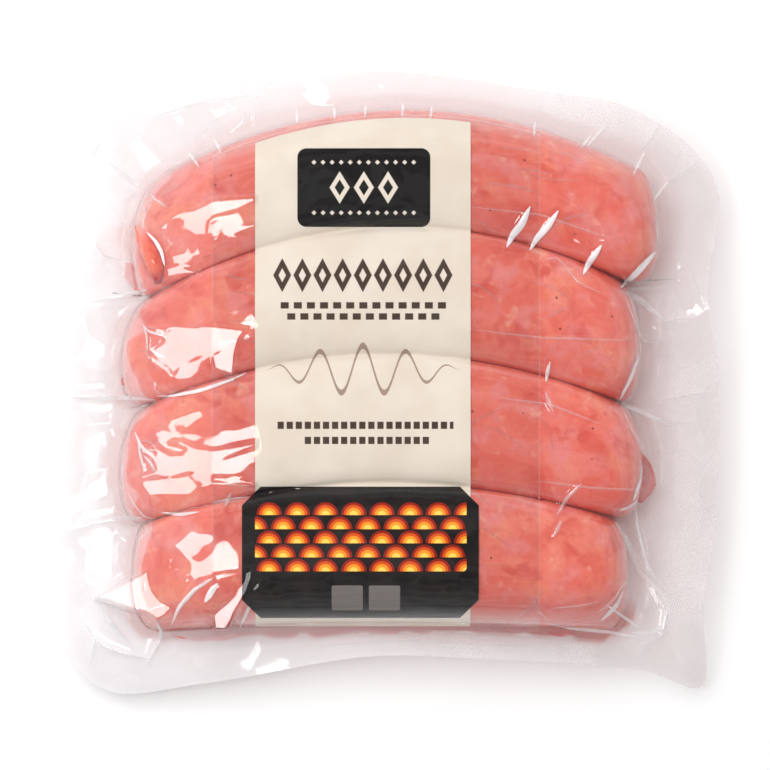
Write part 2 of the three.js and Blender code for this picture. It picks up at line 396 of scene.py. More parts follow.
FLANGE_FOLDS = (  # lines of the photograph, the fold's width and height
    ((617, 517, 630, 545, 645, 570, 668, 595), 1.1, 1.6),
    ((634, 503, 640, 540, 650, 578), 0.9, 1.3),
    ((655, 592, 667, 612, 662, 636, 640, 648), 1.0, 1.0),
    ((606, 604, 632, 622, 652, 632), 0.8, 1.0),
    ((619, 290, 646, 308, 664, 322, 690, 318), 1.6, 1.2),
    ((622, 292, 632, 318, 644, 342, 672, 340), 1.4, 0.9),
    ((617, 403, 650, 418, 690, 424), 1.6, 1.0),
    ((620, 406, 634, 436, 650, 458), 1.2, 1.0),
    ((652, 402, 684, 396, 712, 392), 1.8, 0.8),
    ((102, 140, 92, 156, 92, 176), 0.8, 1.3),
    ((102, 158, 124, 174, 148, 192), 0.8, 1.3),
    ((150, 118, 196, 104, 250, 96), 2.4, 1.0),
    ((148, 290, 120, 296, 84, 300), 1.8, 1.0),
    ((156, 398, 118, 397, 66, 396), 0.9, 1.3),
    ((128, 262, 104, 256, 92, 238), 1.6, 0.9),
    ((136, 516, 112, 520, 76, 528), 1.6, 1.0),
    ((118, 440, 124, 470, 116, 506), 2.2, 0.9),
    ((98, 600, 112, 622, 132, 646), 1.0, 1.5),
    ((92, 640, 112, 650, 148, 660), 1.2, 1.3),
    ((164, 628, 158, 646, 150, 660), 1.0, 1.2),
    ((82, 620, 96, 640, 90, 664), 1.6, 0.9),
    ((680, 250, 694, 280, 706, 310), 2.4, 0.9),
    ((640, 152, 652, 138, 662, 120), 1.6, 0.9),
    ((668, 182, 690, 168, 700, 160), 1.4, 0.7),
    ((320, 646, 400, 640, 520, 646), 1.6, 0.6),
    ((420, 630, 520, 634, 600, 640), 1.0, 0.5),
)
TAUT_PLACES = (  # flat places of the film over the sausages' left ends: their outlines
    (150, 229, 166, 227, 172, 216, 180, 211, 198, 208, 213, 199, 257, 196, 257, 204,
     238, 212, 216, 217, 209, 222, 206, 236, 198, 240, 194, 252, 190, 242, 184, 250,
     175, 247, 170, 234),
    (213, 236, 236, 226, 257, 223, 257, 229, 232, 236, 214, 243),
    (165, 268, 178, 266, 192, 269, 204, 275, 184, 276, 168, 277),
    (145, 326, 168, 332, 214, 325, 248, 329, 240, 340, 237, 356, 236, 378, 226, 374,
     214, 369, 213, 356, 221, 350, 212, 349, 200, 358, 181, 366, 174, 376, 170, 366,
     162, 362, 151, 352, 167, 341),
    (158, 446, 170, 455, 184, 455, 188, 448, 170, 442, 182, 440, 196, 446, 214, 449,
     257, 441, 257, 447, 226, 458, 216, 466, 206, 462, 196, 471, 178, 476, 142, 477,
     156, 470),
    (213, 475, 240, 478, 257, 480, 257, 485, 236, 484, 214, 481),
    (96, 598, 134, 575, 160, 563, 174, 564, 172, 572, 160, 575, 193, 578, 180, 600,
     168, 616, 158, 621, 148, 614, 126, 609),
    (203, 604, 216, 582, 221, 582, 215, 597),
    (214, 573, 254, 568, 250, 590, 238, 612, 230, 630, 213, 629, 212, 612, 240, 590,
     226, 590),
)
TAUT_SLOPE = (0.15, 0.07)  # rise of those flat places to the right and to the back
TAUT_FEATHER = 0.5
TAUT_SHARE = 0.6  # of a taut place's film, this share lies lower than its plane
TAUT_STEP = 0.5  # between the points at which that film is measured


def inside_by(x, y, pixels):
    """How far points are inside an outline of the photograph, negative outside."""
    line = closed(traced(pixels))
    crossings = np.zeros(x.shape, int)
    for start, stop in zip(line[:-1], line[1:]):
        spans = (start[1] > y) != (stop[1] > y)
        reach = start[0] + (stop[0] - start[0]) * (y - start[1]) / (stop[1] - start[1] or 1)
        crossings += spans & (x < reach)
    return nearest(line, x, y)[0] * np.where(crossings % 2 == 1, 1, -1)


HELD = (0.2, 0.75)  # how full the bag is where the film begins to cling, and where it clings
LABEL_HOLD = 0.85  # the share of the facets' height that the label presses flat
FACET_RISE = 0.014  # a facet's rise by the square of the distance from its middle
HELD_FACETS = (8.5, 7.0, 5)  # over the sausages: their pitch along and across, and their seed
HELD_LEVEL = 0.15  # taken off them, so that they rise and sink about evenly
LOOSE_FACETS = (13, 11, 8)  # in the flange
LOOSE_LEVEL = 0.33
LOOSE_WAVES = ((17, 0.5, 6), (6.5, 0.14, 7))  # of the flange: size, height and seed
LOOSE_FROM = 0.2  # how far out of the row the flange begins to be loose, and where it is loose
LOOSE_TO = 4.5
LOOSE_CHANCE = (3, 9, 10)  # how much farther or nearer by chance, with its size and seed
FOLD_START = 0.4  # a flange fold's share of its height where it leaves the row
FOLD_GROWN = 2
FLAT_EDGE = 0.6  # the share of the waves that the seal at the free edge takes away
CALM_RIGHT = 0.4  # the share of the waves that is left at the right, and at the front
CALM_FRONT = 0.35


def film_detail(lie):
    """The folds, puckers and facets of the film, on top of its main form."""
    x, y = lie.x, lie.y
    held = smooth(lie.full, *HELD)
    facets = nearest_squared(x * 0.7 + y * 0.1, y, *HELD_FACETS) * FACET_RISE - HELD_LEVEL
    detail = lumps(x, y) * held + facets * held * (1 - LABEL_HOLD * lie.label)
    for folds, width, _, sharp in FOLD_GROUPS:
        for *pixels, height in folds:
            detail += ridge(x, y, pixels, width, height, sharp)
    detail += ridge(x, y, NECK_BULGE, NECK_WIDTH, NECK_RISE)
    grown = mix(FOLD_START, 1, smooth(lie.out, 0, FOLD_GROWN))
    for pixels, width, height in FLANGE_FOLDS:
        detail += ridge(x, y, pixels, width, height, True) * grown
    more, *chance = LOOSE_CHANCE
    loose = smooth(lie.out, LOOSE_FROM, LOOSE_TO + more * lie.noise(*chance))
    waves = nearest_squared(x + 0.2 * y, y - 0.3 * x, *LOOSE_FACETS) * FACET_RISE - LOOSE_LEVEL
    for size, height, seed in LOOSE_WAVES:
        waves = waves + height * lie.noise(size, seed)
    flatter = 1 - FLAT_EDGE * smooth(lie.share, 0.6, 1)
    calmer = mix(1, CALM_RIGHT, smooth(x, -30, 10)) * mix(1, CALM_FRONT, smooth(-y, 60, 70))
    return detail + waves * loose * flatter * calmer


SAUSAGE_CLEARANCE = 0.3
FILM_CLEARANCE = 0.12


def sausage_top(lie):
    contact = CONTACT * lie.inner
    rise = mix(contact, crown_at(lie) - SAUSAGE_CLEARANCE, lie.full) + lumps(lie.x, lie.y) * lie.full
    dent = ridge(lie.x, lie.y, NECK_BULGE, NECK_WIDTH, NECK_DENT)
    return lie.middle + FLANGE_THICKNESS / 2 + np.maximum(rise - dent, 0)


def loose_height(lie):
    return film_top(lie) + film_detail(lie)


def taut_plane(lie, lift):
    return TAUT_SLOPE[0] * lie.x + TAUT_SLOPE[1] * lie.y + lift


def taut_lift(pixels):
    """How high a taut place's plane lies."""
    line = traced(pixels)
    x, y = (values.ravel() for values in np.meshgrid(*(
        np.arange(line[:, k].min(), line[:, k].max(), TAUT_STEP) for k in (0, 1))))
    within = inside_by(x, y, pixels) > 0
    lie = Lie(x[within], y[within])
    return np.quantile(loose_height(lie) - taut_plane(lie, 0), TAUT_SHARE)


def flattened(lie, height):
    """The film's height with its taut places flattened."""
    for pixels, lift in zip(TAUT_PLACES, taut_lifts):
        share = smooth(inside_by(lie.x, lie.y, pixels), -TAUT_FEATHER, TAUT_FEATHER)
        height = mix(height, taut_plane(lie, lift), share)
    return height


taut_lifts = [taut_lift(pixels) for pixels in TAUT_PLACES]


def front_height(lie):
    floor = np.where(lie.end > 0, sausage_top(lie) + FILM_CLEARANCE, -np.inf)
    return np.maximum(flattened(lie, np.maximum(loose_height(lie), floor)), floor)


BACK_RIPPLE = 0.35
RIPPLE_CHANCE = (6.5, 9)  # size and seed


def back_height(lie):
    ripple = BACK_RIPPLE * lie.noise(*RIPPLE_CHANCE) * (1 - lie.full)
    shared = film_detail(lie) * smooth(lie.share, 0.3, 1)
    return np.maximum(film_bottom(lie) + ripple * (1 - lie.share) + shared, FILM)


# Materials

def srgb(red, green, blue):
    """A colour read off the photograph, 0 to 255, as linear light."""
    return tuple(((c / 255 + 0.055) / 1.055) ** 2.4 if c > 10 else c / 255 / 12.92
                 for c in (red, green, blue))


def sum_of(operation):
    return lambda value, *others: value.nodes.math(operation, value, *others)


class Value:
    """A number that nodes work out, for use in sums."""

    __add__, __sub__, __mul__, __truediv__ = map(sum_of, ("ADD", "SUBTRACT", "MULTIPLY", "DIVIDE"))
    __abs__, sine, fraction, root = map(sum_of, ("ABSOLUTE", "SINE", "FRACT", "SQRT"))

    def __init__(self, nodes, socket):
        self.nodes, self.socket = nodes, socket

    def __rsub__(self, other):
        return self.nodes.math("SUBTRACT", other, self)


class Nodes:
    """A tree of nodes, built up by small steps."""

    def __init__(self, tree):
        self.tree = tree

    def node(self, kind, inputs=(), **settings):
        made = self.tree.nodes.new(kind)
        for name, value in settings.items():
            setattr(made, name, value)
        for key, value in dict(inputs).items():
            self.feed(made.inputs[key], value)
        return made

    def feed(self, socket, value):
        if isinstance(value, Value):
            value = value.socket
        if isinstance(value, bpy.types.NodeSocket):
            self.tree.links.new(value, socket)
        elif isinstance(value, tuple) and len(value) == 3 and socket.type == "RGBA":
            socket.default_value = (*value, 1)
        else:
            socket.default_value = value

    def math(self, operation, *values):
        made = self.node("ShaderNodeMath", dict(enumerate(values)), operation=operation)
        return Value(self, made.outputs[0])

    def parts(self, vector):
        """A vector's three coordinates."""
        made = self.node("ShaderNodeSeparateXYZ", {"Vector": vector})
        return [Value(self, socket) for socket in made.outputs]

    def ramp(self, value, low, high, first=0.0, last=1.0, kind="LINEAR"):
        """First below low, last above high."""
        ends = {"From Min": low, "From Max": high, "To Min": first, "To Max": last}
        made = self.node("ShaderNodeMapRange", {"Value": value, **ends}, interpolation_type=kind)
        return Value(self, made.outputs[0])

    def step(self, value, low, high):
        """0 below low, 1 above high, and smooth between them."""
        return self.ramp(value, low, high, kind="SMOOTHSTEP")

    def mix(self, share, under, over):
        made = self.node("ShaderNodeMix", {"Factor": share}, data_type="RGBA")
        for socket, value in zip([s for s in made.inputs if s.type == "RGBA"], (under, over)):
            self.feed(socket, value)
        return [s for s in made.outputs if s.type == "RGBA"][0]


class Look(Nodes):
    """A material."""

    def __init__(self, name):
        self.material = bpy.data.materials.new(name)
        self.material.use_nodes = True
        super().__init__(self.material.node_tree)
        self.tree.nodes.clear()
        self.output = self.tree.nodes.new("ShaderNodeOutputMaterial")

    def place(self, scale=1000.0, shift=(0.0, 0.0, 0.0)):
        """Where the point is on the pack, in millimetres at scale 1000."""
        coordinates = self.node("ShaderNodeTexCoord").outputs["Object"]
        inputs = {"Vector": coordinates, "Scale": (scale,) * 3, "Location": shift}
        return self.node("ShaderNodeMapping", inputs).outputs[0]

    def noise(self, size, shift=0.0, detail=2.0, distortion=0.0):
        """Noise from about 0.3 to 0.7 whose features are size millimetres across."""
        where = self.place(shift=(shift, shift * 0.7, shift * 1.3))
        inputs = {"Vector": where, "Scale": 1 / size, "Detail": detail, "Distortion": distortion}
        return Value(self, self.node("ShaderNodeTexNoise", inputs).outputs["Fac"])

    def attribute(self, name):
        return Value(self, self.node("ShaderNodeAttribute", attribute_name=name).outputs["Fac"])

    def bump(self, height, distance, strength=1.0):
        inputs = {"Height": height, "Distance": distance, "Strength": strength}
        return self.node("ShaderNodeBump", inputs).outputs["Normal"]

    def shader(self, kind, **inputs):
        named = {key.replace("_", " "): value for key, value in inputs.items()}
        return self.node("ShaderNodeBsdf" + kind, named).outputs[0]

    def blend(self, share, first, second):
        return self.node("ShaderNodeMixShader", {0: share, 1: first, 2: second}).outputs[0]

    def finish(self, shader):
        self.feed(self.output.inputs["Surface"], shader)
        return self.material


MEAT = (0.83, 0.170, 0.125)
MEAT_PALE = (0.87, 0.250, 0.165)
MEAT_PINK = (0.83, 0.240, 0.215)
MEAT_RED = (0.68, 0.088, 0.066)
FAT = (0.89, 0.37, 0.27)
# painted shade: the dark red of the shade in the crease where two sausages touch
PAINTED_CREVICE_SHADE = (0.48, 0.06, 0.05)
SPECK = (0.16, 0.035, 0.022)
MEAT_PATCHES = (  # their size, detail and distortion, the limits of the noise, and their share and colour
    (13, 2, 0.0, 0.47, 0.70, 1.0, MEAT_PALE),
    (9, 2, 0.0, 0.48, 0.68, 1.0, MEAT_PINK),
    (8, 3, 0.6, 0.51, 0.70, 0.8, MEAT_RED),
    (4.5, 2, 0.4, 0.60, 0.76, 0.7, FAT),
    (1.7, 3, 0.0, 0.35, 0.65, 0.2, MEAT_RED),
)
PATCH_SHIFT = 40.0  # between the noises of one kind of patch and the next
SPECK_PITCH = 4.6
SPECK_RADIUS = (0.05, 0.11)  # in pitches, at its full and at its last colour
SPECK_CHOICE = (0.66, 0.68)  # the cells above these have a speck
SPECK_SHARE = 0.85
LOWER_SIDE_SHADE = 0.45  # how much darker red the side of a sausage that faces the front is: painted shade
# how strongly that painted crevice shade darkens the meat
CREVICE_SHADE_STRENGTH = 0.3


def meat_look():
    """Coarse pink sausage meat under a thin casing: pale fat, red lean, a few dark specks, and painted
    shade in the creases and on the side facing the front.
    """
    look, colour = Look("sausage_meat"), MEAT
    for number, (size, detail, distortion, low, high, share, tone) in enumerate(MEAT_PATCHES):
        patches = look.step(look.noise(size, PATCH_SHIFT * number, detail, distortion), low, high)
        colour = look.mix(patches * share, colour, tone)
    cells = look.node("ShaderNodeTexVoronoi", {
        "Vector": look.place(shift=(0.0, 7.0, 3.0)), "Scale": 1 / SPECK_PITCH, "Randomness": 1.0})
    chosen = look.node("ShaderNodeSeparateColor", {"Color": cells.outputs["Color"]}).outputs[0]
    speck = (1.0 - look.step(cells.outputs["Distance"], *SPECK_RADIUS)) * look.step(chosen, *SPECK_CHOICE)
    colour = look.mix(speck * SPECK_SHARE, colour, SPECK)
    # painted shade: the side that faces the front turns darker red
    colour = look.mix(look.attribute("lower") * LOWER_SIDE_SHADE, colour, MEAT_RED)
    # painted shade: the meat darkens in the crease beside each neighbouring sausage
    colour = look.mix(look.attribute("crevice_shade") * CREVICE_SHADE_STRENGTH, colour, PAINTED_CREVICE_SHADE)
    grain = look.bump(look.noise(1.6, 200, 1), 0.0002, 0.5)
    return look.finish(look.shader(
        "Principled", Base_Color=colour, Roughness=0.45, Specular_IOR_Level=0.25, Normal=grain))


CASING = (0.86, 0.15, 0.08)
CASING_GATHERED = (0.78, 0.08, 0.05)
CASING_TIP = (0.42, 0.01, 0.025)
FLAP_PALE = (0.88, 0.36, 0.35)
FLAP_PINK = (0.84, 0.22, 0.20)
FLAP_CLEAR = (0.95, 0.75, 0.75)
FLAP_BODY = 0.68


def casing_look():
    """The twisted, empty casing at the sausages' ends: thin, wet and dark red where it is gathered."""
    look = Look("casing")
    gathered = look.step(look.noise(3.5, 300, 2, 0.5), 0.48, 0.72)
    colour = look.mix(gathered, CASING, CASING_GATHERED)
    colour = look.mix(look.step(look.attribute("along"), 0.62, 0.98), colour, CASING_TIP)
    wrinkles = look.bump(look.noise(1.1, 320, 2, 1.0), 0.0003, 0.6)
    return look.finish(look.shader("Principled", Base_Color=colour, Roughness=0.3, Normal=wrinkles))


def flap_look():
    """A flat end of empty casing, pink and half clear."""
    look = Look("casing_flap")
    colour = look.mix(look.step(look.noise(2.5, 340, 2), 0.35, 0.65), FLAP_PALE, FLAP_PINK)
    body = look.shader("Principled", Base_Color=colour, Roughness=0.35)
    return look.finish(look.blend(FLAP_BODY, look.shader("Transparent", Color=FLAP_CLEAR), body))


CLEAR = (0.960, 0.970, 0.970)
# the pink tint of juice stains, also used as painted shade and pink bounce light on the right flange
STAIN_AND_SHADE_TINT = (0.80, 0.46, 0.43)
MILK = (1.0, 0.96, 0.975)
SHEEN_ROUGHNESS = 0.06
MIRROR_POWER = 4.0  # how late the film's mirroring grows towards a slant
MIRROR_RISE = 0.9
DASHES = (3.2, 6.4)  # radians per millimetre of the seal's pressed dashes, on its two slants
PRESSED_MILK = 0.035
SEAL_MILK = 0.08


def film_look(name, gloss, sealed=False):
    """Clear film: it mirrors more at a slant and clouds where it hangs loose; its milky share also draws
    painted highlights and painted reflection veils.

    Sealed film is also milky, with pressed dashes, and tinted pink by the meat's juice and by painted
    shade on the right flange.
    """
    look = Look(name)
    facing = look.node("ShaderNodeLayerWeight", {"Blend": 0.5}).outputs["Facing"]
    mirror = look.math("POWER", facing, MIRROR_POWER) * MIRROR_RISE + gloss
    # the haze attribute holds real haze, and also painted highlights on the fold strips and painted
    # reflection veils on the left
    milky, tint = look.attribute("haze_and_painted_light"), CLEAR
    if sealed:
        seal = look.attribute("seal")
        x, y, _ = look.parts(look.place())
        dashes = ((x + y) * DASHES[0]).sine() * ((x - y) * DASHES[1]).sine()
        pressed = look.step(dashes, 0.1, 0.6) * look.step(seal, 0.5, 0.9) * PRESSED_MILK
        milky = seal * SEAL_MILK + milky + pressed
        tint = look.mix(look.attribute("stain_and_painted_shade"), CLEAR, STAIN_AND_SHADE_TINT)
    through = look.blend(milky, look.shader("Transparent", Color=tint), look.shader("Diffuse", Color=MILK))
    sheen = look.shader("Glossy", Color=(1.0, 1.0, 1.0), Roughness=SHEEN_ROUGHNESS)
    return look.finish(look.blend(mirror, through, sheen))


meat = meat_look()
casing = casing_look()
flap = flap_look()
film = film_look("clear_film", 0.065)
sealed_film = film_look("sealed_film", 0.035, sealed=True)
sticker_film = film_look("sticker_film", 0.03)
back_film = film_look("back_film", 0.02)
sealed_back_film = film_look("sealed_back_film", 0.02, sealed=True)


PRINT_SOFTNESS = 0.35  # how far the print's edges blur either way, in pixels


class Print(Look):
    """The label's print, laid out in the photograph's pixels."""

    def __init__(self, name):
        super().__init__(name)
        x, y, _ = self.parts(self.place(scale=1 / (PIXEL * MM)))
        self.u, self.v = x + PHOTO_MIDDLE[0], PHOTO_MIDDLE[1] - y

    def inside(self, distance):
        """1 where a distance in pixels is below 0."""
        return 1.0 - self.step(distance, -PRINT_SOFTNESS, PRINT_SOFTNESS)

    def far(self, off_u, off_v):
        """The distance that two offsets make together."""
        return (off_u * off_u + off_v * off_v).root()

    def along(self, start, pitch):
        """How far along its repeat the point is, from 0 to 1."""
        return ((self.u - start) / pitch).fraction()

    def box(self, left, right, top, bottom, radius=0.0):
        off_u = abs(self.u - (left + right) / 2) - ((right - left) / 2 - radius)
        off_v = abs(self.v - (top + bottom) / 2) - ((bottom - top) / 2 - radius)
        if not radius:
            return self.inside(self.math("MAXIMUM", off_u, off_v))
        out_u, out_v = (self.math("MAXIMUM", off, 0.0) for off in (off_u, off_v))
        return self.inside(self.far(out_u, out_v) - radius)

    def lozenges(self, left, right, middle_v, count, reach_u, reach_v):
        """A row of lozenges."""
        pitch = (right - left) / count
        off_u = abs((self.along(left, pitch) - 0.5) * (pitch / reach_u))
        off_v = abs(self.v - middle_v) / reach_v
        shape = self.inside((off_u + off_v - 1.0) * (reach_u * 0.7))
        return shape * self.box(left, right, middle_v - reach_v, middle_v + reach_v)

    def wave(self, left, right, middle_v, rise, turns, thickness):
        """A brushed wavy line that thins towards its ends."""
        along = (self.u - left) / (right - left)
        swell = (along * math.pi).sine()
        line = (along * (turns * 2 * math.pi)).sine() * swell * -rise + middle_v
        shape = self.inside(abs(self.v - line) - swell * thickness)
        return shape * self.box(left, right, middle_v - 2 * rise, middle_v + 2 * rise)

    def dashes(self, left, right, middle_v, pitch, share, reach_v):
        """A row of short bars."""
        off = abs(self.along(left, pitch) - 0.5) - share / 2
        return self.inside(off * pitch) * self.box(left, right, middle_v - reach_v, middle_v + reach_v)

    def scallops(self, base_v, radius, start, tones, under):
        """A row of half rounds that stand on a line, with rings in them."""
        off_v = self.v - base_v
        far = self.far((self.along(start, 2 * radius) - 0.5) * (2 * radius), off_v)
        above = self.inside(off_v)
        for share, tone in tones:
            under = self.mix(self.inside(far - radius * share) * above, under, tone)
        return under


CREAM = srgb(231, 217, 203)
CREAM_SHADE = srgb(226, 210, 194)
CHARCOAL = srgb(20, 16, 16)
CHARCOAL_PALE = srgb(34, 27, 25)
BROWN = srgb(72, 56, 47)
TAN = srgb(165, 140, 126)
GREY = srgb(120, 112, 108)
BAND = (256.0, 470.0)
PANEL = (243.0, 478.0)
PANEL_TOP = 486.0
PANEL_LOW = 617.0
SCALLOP_ROWS = ((514, 256), (528, 242), (542, 256), (556, 242), (570, 256))  # base and start
SCALLOP_RADIUS = 14
SCALLOP_TONES = (  # share of the radius and colour of each ring
    (1.0, srgb(26, 20, 18)), (0.9, srgb(150, 30, 14)), (0.72, srgb(222, 84, 18)),
    (0.52, srgb(250, 158, 40)), (0.3, srgb(255, 216, 96)),
)


BAND_PRINT = (  # from the bottom layer up: a shape, its measures in pixels, and its colour
    (Print.box, (298, 430, 150, 228, 9), CHARCOAL),
    (Print.lozenges, (328, 400, 189, 3, 10.0, 16.0), CREAM),
    (Print.lozenges, (328, 400, 189, 3, 5.0, 8.0), CHARCOAL),
    (Print.lozenges, (310, 418, 214, 12, 2.4, 2.4), CREAM),
    (Print.lozenges, (310, 418, 164, 12, 2.4, 2.4), CREAM),
    (Print.lozenges, (273, 453, 276, 9, 9.0, 17.0), BROWN),
    (Print.lozenges, (273, 453, 276, 9, 3.6, 7.0), CREAM),
    (Print.dashes, (279, 448, 306, 13, 0.62, 3.2), BROWN),
    (Print.dashes, (285.5, 441.5, 317, 13, 0.62, 3.2), BROWN),
    (Print.wave, (266, 460, 370, 24, 4.5, 3.2), TAN),
    (Print.dashes, (277, 453, 425, 9, 0.7, 3.6), BROWN),
    (Print.dashes, (304, 430, 440, 9, 0.7, 3.6), BROWN),
)
SCALLOP_FIELD = (256, 466, 499, 570, 4)  # its sides and the radius of its corners
SQUARES = ((332, 363, 584, 609, 2), (369, 400, 584, 609, 2))


def band_look():
    """Cream paper with a dark plate and rows of plain ornament."""
    look = Print("label_band")
    colour = look.mix(look.step(look.noise(14, 9, 2), 0.35, 0.65), CREAM, CREAM_SHADE)
    for shape, measures, tone in BAND_PRINT:
        colour = look.mix(shape(look, *measures), colour, tone)
    return look.finish(look.shader(
        "Principled", Base_Color=colour, Roughness=0.5, Specular_IOR_Level=0.2))


def panel_look():
    """A dark panel with a field of warm-coloured scallops and two plain grey squares."""
    look = Print("label_panel")
    colour = look.mix(look.step(look.noise(6, 19, 2), 0.3, 0.7), CHARCOAL, CHARCOAL_PALE)
    warm = colour
    for base, begun in SCALLOP_ROWS:
        warm = look.scallops(base, SCALLOP_RADIUS, begun, SCALLOP_TONES, warm)
    colour = look.mix(look.box(*SCALLOP_FIELD), colour, warm)
    for square in SQUARES:
        colour = look.mix(look.box(*square), colour, GREY)
    return look.finish(look.shader(
        "Principled", Base_Color=colour, Roughness=0.45, Specular_IOR_Level=0.2))


label_band_look = band_look()
label_panel_look = panel_look()


# Meshes

def add(name, data):
    """A new object in the scene."""
    made = bpy.data.objects.new(name, data)
    bpy.context.collection.objects.link(made)
    return made


def add_mesh(name, points, faces, material):
    mesh = bpy.data.meshes.new(name)
    mesh.from_pydata(points, [], faces)
    mesh.materials.append(material)
    return add(name, mesh)


def make_piece(name, points, quads, material, attributes=(), node="pouch"):
    """A piece of the pack, with a number at each of its points for its material to read."""
    piece = add_mesh(name, (points * MM).tolist(), [tuple(map(int, face)) for face in quads], material)
    for key, values in dict(attributes).items():
        made = piece.data.attributes.new(key, "FLOAT", "POINT")
        made.data.foreach_set("value", values.astype(np.float32))
    piece.data.shade_smooth()
    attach(piece, "root")
    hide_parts(node)


def grid_quads(index, closed=False):
    """Quads over a grid of point numbers, facing up where its rows run down and columns right."""
    right = np.roll(index, -1, axis=1) if closed else index[:, 1:]
    left = index if closed else index[:, :-1]
    return np.stack((left[1:], right[1:], right[:-1], left[:-1]), -1).reshape(-1, 4)


def softened(angle, reach):
    """The directions of the points of a loop, each averaged with its neighbours."""
    turn = 2 * math.pi * np.sign(angle[-1] - angle[0])
    longer = np.concatenate((angle[-reach:] - turn, angle, angle[:reach] + turn))
    return np.convolve(longer, np.full(2 * reach + 1, 1 / (2 * reach + 1)), "valid")


EVEN_ROWS = 0.6  # the rest of the rows' spacing crowds them towards the seams
RING_POWER = 1.25
LOOP_SOFTENING = 16  # the flange's lines are softened over this part of the way round


def film_meshes(rows_each, columns, rings, height):
    """One film of the bag: its part over the sausages, and its flange out to the free edge."""
    t = np.linspace(-1, 1, rows_each + 1)[:-1]
    across = EVEN_ROWS * t + (1 - EVEN_ROWS) * np.sin(t * math.pi / 2)
    places = np.concatenate([sausage + (across + 1) / 2 for sausage in range(SAUSAGES)] + [[SAUSAGES]])
    shares = even(columns)
    left, right = row_ends(places)
    x = mix(left[:, None], right[:, None], shares[None])
    y = y_of(np.broadcast_to(places[:, None], x.shape), x)
    field = np.arange(x.size).reshape(x.shape)
    loop = np.concatenate((field[0, :-1], field[:-1, -1], field[-1, :0:-1], field[:0:-1, 0]))
    x, y = x.ravel(), y.ravel()
    start = np.column_stack((x[loop], y[loop]))
    angle = np.unwrap(np.arctan2(start[:, 1], start[:, 0]))
    angle = softened(angle, len(loop) // LOOP_SOFTENING)
    radius = edge_radius(angle)
    stop = np.column_stack((radius * np.cos(angle), radius * np.sin(angle)))
    steps = even(rings) ** RING_POWER
    ring = mix(start[None], stop[None], steps[:, None, None]).reshape(-1, 2)
    ring_index = np.arange(len(ring)).reshape(rings + 1, -1)
    made = []
    for x, y, quads in ((x, y, grid_quads(field)),
                        (ring[:, 0], ring[:, 1], grid_quads(ring_index[::-1], closed=True))):
        lie = Lie(x, y)
        over = height(lie)
        made.append((lie.points(over), quads, film_marks(lie, over if height is front_height else None)))
    return made


CLEAR_HAZE = 0.01
LOOSE_HAZE = 0.03
FLANGE_HAZE = 0.13
LEFT_VEIL_HAZE = 0.07  # painted reflection: the film is milkier towards its left side, standing in for the softbox's reflected veil there
LEFT_VEIL_SPAN = (28.0, 66.0)  # from where to where, left of the middle
WORN = (12, 21)  # the seal's wear: size and seed
SEAL = (0.3, 0.5)  # the shares of the flange where the seal begins and is whole
RAGGED = (3.4, 1.4, 4, 22)  # how far the juice reaches: its mean, its spread, size and seed
# painted shade: a darker pink tint over the right flange for the pack's shade and the meat's bounce light
RIGHT_PAINTED_SHADE = 0.09
WET_STAIN = 0.22  # round the left ends
LEFT_VEIL_CHANCE = (14, 23)  # the unevenness of the painted veil on the left side: size and seed
PATCHES = (7.5, 25)  # hazy patches: size and seed
PATCHY = (0.10, 0.22)  # the limits of their noise
PATCHY_HAZE = 0.035
FLANGE_LEFT_VEIL = 0.10  # of the flange, on top of its own haze: a painted reflection of the softbox on the flange's left side
# painted light: whiter haze that lifts the shade on the front of the flange, growing towards the left
FRONT_PAINTED_LIGHT = 0.18
RAGGED_END = (3.8, 3.2, 5, 24)  # how far the veil reaches over the left ends
END_VEIL_HAZE = 0.20  # painted reflection: a whiter veil of haze over the sausages' left ends
NECK_CLEAR = (3.6, 1.2)  # how wide and how fully the film is clear over the gathered casing
LOOSE_GAP = (0.2, 0.7)  # millimetres of room over the meat where the film begins to haze, and hazes


